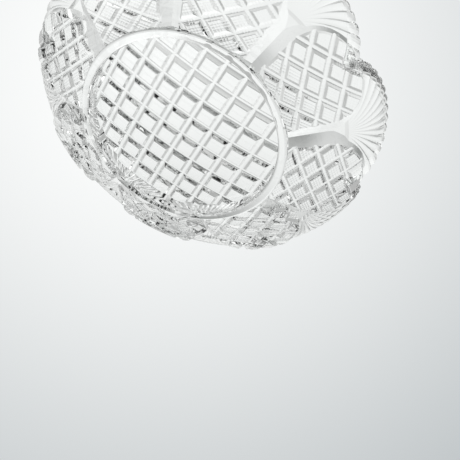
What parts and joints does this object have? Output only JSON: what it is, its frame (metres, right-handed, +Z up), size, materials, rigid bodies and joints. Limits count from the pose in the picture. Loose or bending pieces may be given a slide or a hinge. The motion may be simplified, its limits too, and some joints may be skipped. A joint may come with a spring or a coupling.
{
  "type": "dappen dish",
  "caption": "Shallow round clear glass dish on a plain foot ring, tile-patterned outside with a scalloped, fluted rim; holds nail liquids.",
  "frame": {"origin": "centre of the foot ring on the surface the dish stands on", "axes": "+Z up along the dish's axis from the foot ring to the rim; +X through the middle of one arched panel"},
  "size_m": [0.0776, 0.0776, 0.0156],
  "materials": {
    "clear_glass": "clear colourless pressed glass, fire-polished, all faces smooth and bright"
  },
  "bodies": {
    "root": {"glass_dish": "clear_glass"}
  },
  "joints": []
}
